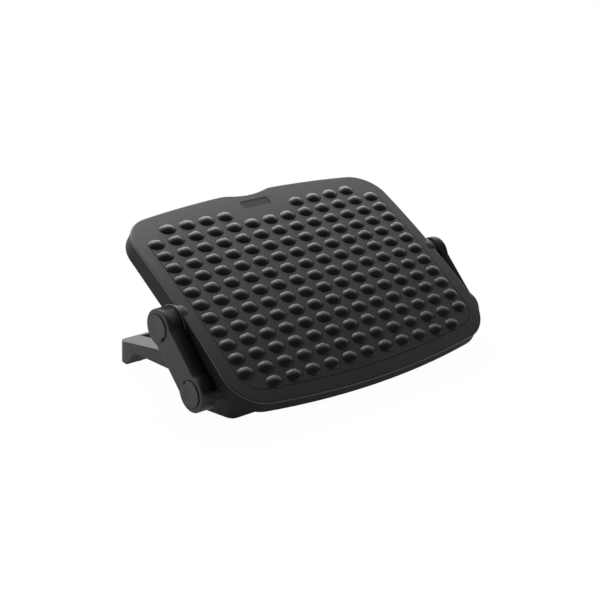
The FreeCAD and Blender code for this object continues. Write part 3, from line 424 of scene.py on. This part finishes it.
def turned(mesh, profile, steps):
    """Draws a profile, and gives its vertices and a call that spins it about the x axis."""
    line = [mesh.verts.new(point) for point in profile]
    for first, second in zip(line, line[1:]):
        mesh.edges.new((first, second))

    def spin():
        bmesh.ops.spin(mesh, geom=mesh.verts[:] + mesh.edges[:], cent=(0, 0, 0), axis=(1, 0, 0),
                       angle=2 * math.pi, steps=steps, use_merge=True)
        bmesh.ops.remove_doubles(mesh, verts=mesh.verts, dist=1e-6)
        bmesh.ops.recalc_face_normals(mesh, faces=mesh.faces)
    return line, spin


def rounded(mesh, verts, offset, segments):
    """Rounds corners of a profile."""
    bmesh.ops.bevel(mesh, geom=verts, offset=offset, segments=segments, profile=0.5, affect="VERTICES",
                    material=-1)


for side in (-1, 1):
    ear = bmesh.new()
    points = [(EAR_INNER, 0), (EAR_INNER, EAR_RADIUS), (EAR_OUTER, EAR_RADIUS), (EAR_OUTER, 0)]
    line, spin = turned(ear, [(side * x, 0, z) for x, z in points], 64)
    outer = line[2]
    rounded(ear, [line[1]], EAR_SHOULDER, 5)
    rounded(ear, [outer], EAR_EDGE, 3)
    spin()
    add_mesh(tread, ear, "ear")

# Bumps: low oval domes, moulded with the plate, for the soles to roll over. Each has a flat ring round its
# foot, level with the plate, in near black plastic that paints the shade of the crease there, and the domes
# themselves are in a darker copy of the plate's plastic, painted shade. A ring is a share of a bump's size
# and of its height.
PITCH_X, PITCH_Y, LATTICE_Y = 0.032, 0.022, 0.0009
BUMP_LONG, BUMP_WIDE, BUMP_HIGH, BUMP_SIDES = 0.025, 0.019, 0.0042, 16
FOOT_SHADE_RING, FOOT_LIFT = 1.05, 0.01
BUMP_RINGS = ((1.0, FOOT_LIFT), (0.84, 0.42), (0.48, 0.82))
LAST_ROW, LABEL_COLUMNS = 6, 1
dome = bmesh.new()
bmesh.ops.create_circle(dome, cap_ends=True, segments=BUMP_SIDES, radius=1.0)
face = dome.faces[:][0]
bmesh.ops.scale(dome, verts=dome.verts, vec=(FOOT_SHADE_RING, FOOT_SHADE_RING, 1))
bmesh.ops.translate(dome, verts=dome.verts, vec=(0, 0, FOOT_LIFT))
for share, height in BUMP_RINGS:
    face = bmesh.ops.extrude_discrete_faces(dome, faces=[face])["faces"][0]
    for vert in face.verts:
        across = Vector((vert.co.x, vert.co.y)).normalized() * share
        vert.co = (across.x, across.y, height)
for vert in bmesh.ops.poke(dome, faces=[face])["verts"]:
    vert.co.z = 1
bmesh.ops.scale(dome, verts=dome.verts, vec=(BUMP_LONG / 2, BUMP_WIDE / 2, BUMP_HIGH))
bmesh.ops.recalc_face_normals(dome, faces=dome.faces)
# Painted shade: the flat ring at the foot takes the near black crease plastic, the dome the darker bump
# plastic.
for face in dome.faces:
    level_with_plate = max(vert.co.z for vert in face.verts) < BUMP_HIGH * FOOT_LIFT * 2
    face.material_index = CREASE_SHADE_SKIN if level_with_plate else BUMP_SHADE_SKIN
dome_mesh = bpy.data.meshes.new("dome")
dome.to_mesh(dome_mesh)
dome.free()
for row in range(-LAST_ROW, LAST_ROW + 1):
    for column in range(-LAST_ROW, LAST_ROW + 1):
        at_corner = abs(row) == LAST_ROW and abs(column) == LAST_ROW
        if at_corner or row == LAST_ROW and abs(column) <= LABEL_COLUMNS:
            continue
        y = row * PITCH_Y + LATTICE_Y
        slope = -y / (CROWN_FRONT if y < 0 else CROWN_REAR)
        onto_crown = (Matrix.Translation((column * PITCH_X, y, TREAD_TOP - crown_drop(y)))
                      @ Matrix.Rotation(slope, 4, "X"))
        first = len(tread.verts)
        tread.from_mesh(dome_mesh)
        tread.verts.ensure_lookup_table()
        bmesh.ops.transform(tread, matrix=onto_crown, verts=tread.verts[first:])

tread.transform(to_slope)
# The skirt, crease and bump plastics are darker copies of the plate's own: painted shade.
tread_skins = [plastic("tread_black", (0.014, 0.0137, 0.0133), 0.36, 0.0007, 0.000012),
               plastic("crease_painted_shade", (0.003, 0.003, 0.003), 0.7, 0.0007, 0.000012, 0.2),
               plastic("label_seat", (0.008, 0.008, 0.008), 0.5, 0.0007, 0.000012, 0.3),
               plastic("skirt_painted_shade", (0.007, 0.0072, 0.0072), 0.55, 0.0009, 0.00002, 0.15),
               plastic("bump_painted_shade", (0.008, 0.0079, 0.0077), 0.30, 0.0007, 0.000008, 0.38)]
tread_piece = finished("tread_moulding", tread, tread_skins, "tread_body", "tread_plastic", "tread", sharp=50)
tread_piece.modifiers.new("even_shading", "WEIGHTED_NORMAL").keep_sharp = True

# Base frame
# One open moulding: two arched rails that rise to the pivot towers, joined by a low front wall and a thin
# rear wall. The rails splay a little to the rear, and every outer edge is softened, as on any moulding.
BASE_EDGE = 0.0024
BASE_REAR_FROM, BASE_REAR_FULL, BASE_REAR_LONGER, BASE_SPLAY = 0.110, 0.135, 0.005, 0.12
REAR_PAD, REAR_PAD_ROOM = (0.1934, 0.1274), 0.0085


def from_construction(node):
    """A merged copy of a construction node's mesh, its flat faces joined."""
    mesh = bmesh.new()
    mesh.from_mesh(frame["nodes"][node].data)
    bmesh.ops.remove_doubles(mesh, verts=mesh.verts, dist=1e-6)
    bmesh.ops.dissolve_limit(mesh, angle_limit=math.radians(0.5), verts=mesh.verts, edges=mesh.edges)
    return mesh


base_black = plastic("base_black", (0.009, 0.0088, 0.0084), 0.40, 0.0009, 0.00002, 0.3)
base_mesh = from_construction("base_frame")
for vert in base_mesh.verts:
    if math.hypot(abs(vert.co.x) - REAR_PAD[0], vert.co.y - REAR_PAD[1]) > REAR_PAD_ROOM:
        share = (vert.co.y - BASE_REAR_FROM) / (BASE_REAR_FULL - BASE_REAR_FROM)
        vert.co.x *= 1 + BASE_SPLAY * max(0.0, vert.co.y)
        vert.co.y += BASE_REAR_LONGER * min(1.0, max(0.0, share))
base = finished("base_moulding", base_mesh, [base_black], "base", "base_plastic", "base_frame")
softened = base.modifiers.new("soft_edges", "BEVEL")
softened.width, softened.segments = BASE_EDGE, 3
softened.limit_method, softened.angle_limit = "ANGLE", math.radians(30)
softened.harden_normals = True
base.modifiers.new("even_shading", "WEIGHTED_NORMAL")

# Arms
# Thick bars with round ends. Outside they are closed, with a rounded edge and a seat at each end for a screw
# cover, and inside they are hollow with one rib.
arm_black = plastic("arm_black", (0.014, 0.0136, 0.013), 0.42, 0.0008, 0.000018, 0.28)
for side in ("left", "right"):
    arm = finished("arm_%s_moulding" % side, from_construction("arm_" + side), [arm_black],
                   "arm_%s_body" % side, "arm_plastic", "arm_" + side)
    arm.modifiers.new("even_shading", "WEIGHTED_NORMAL")

# Screw covers
# A shallow dished disc in each seat, with a notch for a blade on the side that faces the other cover.
CAP_RADIUS, CAP_EDGE, CAP_DISH, CAP_TURNS = 0.0173, 0.0010, 0.0006, 72
CAP_BACK = 0.002
BLADE_IN, BLADE_HALF_TURNS = 0.0022, 2.5
arm_lean = math.atan2(joints["tilt"]["pos_m"][2] - joints["height_left"]["pos_m"][2],
                      joints["tilt"]["pos_m"][1] - joints["height_left"]["pos_m"][1])
cap_black = plastic("cap_black", (0.015, 0.0146, 0.014), 0.38, 0.0008, 0.000012, 0.30)
for side, sign in (("left", -1), ("right", 1)):
    for joint, towards in (("height", 0), ("tilt", math.pi)):
        node = "%s_cap_%s" % (joint, side)
        low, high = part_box(node)
        inner, outer = sorted((abs(low.x), abs(high.x)))
        middle = (low + high) / 2
        cap = bmesh.new()
        profile = [(outer - CAP_DISH, 0), (outer - CAP_DISH * 0.75, CAP_RADIUS * 0.5),
                   (outer, CAP_RADIUS * 0.93), (outer, CAP_RADIUS), (inner + CAP_BACK, CAP_RADIUS),
                   (inner + CAP_BACK, 0)]
        line, spin = turned(cap, [(x, radius, 0) for x, radius in profile], CAP_TURNS)
        rounded(cap, [line[3]], CAP_EDGE, 3)
        spin()
        for vert in cap.verts:
            turn = math.atan2(vert.co.z, vert.co.y)
            radius = math.hypot(vert.co.y, vert.co.z)
            if radius > CAP_RADIUS * 0.9 and abs(turn) < BLADE_HALF_TURNS * 2 * math.pi / CAP_TURNS:
                vert.co.y *= (radius - BLADE_IN) / radius
                vert.co.z *= (radius - BLADE_IN) / radius
        if sign < 0:
            bmesh.ops.scale(cap, verts=cap.verts, vec=(-1, 1, 1))
            bmesh.ops.reverse_faces(cap, faces=cap.faces)
        bmesh.ops.rotate(cap, verts=cap.verts, matrix=Matrix.Rotation(arm_lean + towards, 3, "X"))
        bmesh.ops.translate(cap, verts=cap.verts, vec=(0, middle.y, middle.z))
        finished("%s_cap_%s_cover" % (joint, side), cap, [cap_black], "arm_%s_body" % side, "cap_plastic",
                 node)

# Pivots
# Black nylon rings and washers, zinc plated bolts, nuts and washers, and oiled disc springs: bought parts.


def metal(name, colour, roughness):
    """A metal with fine drawn or rolled streaks."""
    material, add = new_material(name)
    place = add("ShaderNodeTexCoord").outputs["Object"]
    streaks = add("ShaderNodeMapping", {"Vector": place, "Scale": (200, 1500, 1500)})
    noise = add("ShaderNodeTexNoise", {"Vector": streaks.outputs["Vector"], "Scale": 1.0, "Detail": 3.0})
    dull = (*[part * 0.8 for part in colour], 1)
    tone = add("ShaderNodeMix", {"Factor": noise.outputs["Fac"], "A": dull, "B": (*colour, 1)},
               data_type="RGBA")
    sheen = add("ShaderNodeMapRange", {"Value": noise.outputs["Fac"], "To Min": roughness - 0.08,
                                       "To Max": roughness + 0.08})
    shader = add("ShaderNodeBsdfPrincipled", {"Base Color": tone.outputs["Result"], "Metallic": 1.0,
                                              "Roughness": sheen.outputs["Result"]})
    add("ShaderNodeOutputMaterial", {"Surface": shader.outputs["BSDF"]})
    return material


def dress(nodes, material):
    """Gives construction nodes that stay as they are their finish."""
    for node in nodes:
        frame["nodes"][node].data.materials.clear()
        frame["nodes"][node].data.materials.append(material)


dress(["%s_%s" % (kind, side) for kind in ("click_ring", "tilt_bush", "friction_washer")
       for side in ("left", "right")], plastic("black_nylon", (0.02, 0.02, 0.021), 0.5, 0.001, 0.00001))
dress(["%s_%s" % (joint, kind) for joint in ("height", "tilt") for kind in ("bolts", "nuts", "washers")],
      metal("zinc_plate", (0.62, 0.63, 0.64), 0.32))
dress(["%s_spring_%s" % (joint, side) for joint in ("height", "tilt") for side in ("left", "right")],
      metal("oiled_spring_steel", (0.22, 0.21, 0.20), 0.38))

# Foot pads
# Four discs of black rubber, glued into seats under the feet.
dress(["foot_pads"], plastic("pad_rubber", (0.012, 0.012, 0.012), 0.75, 0.0006, 0.00003))
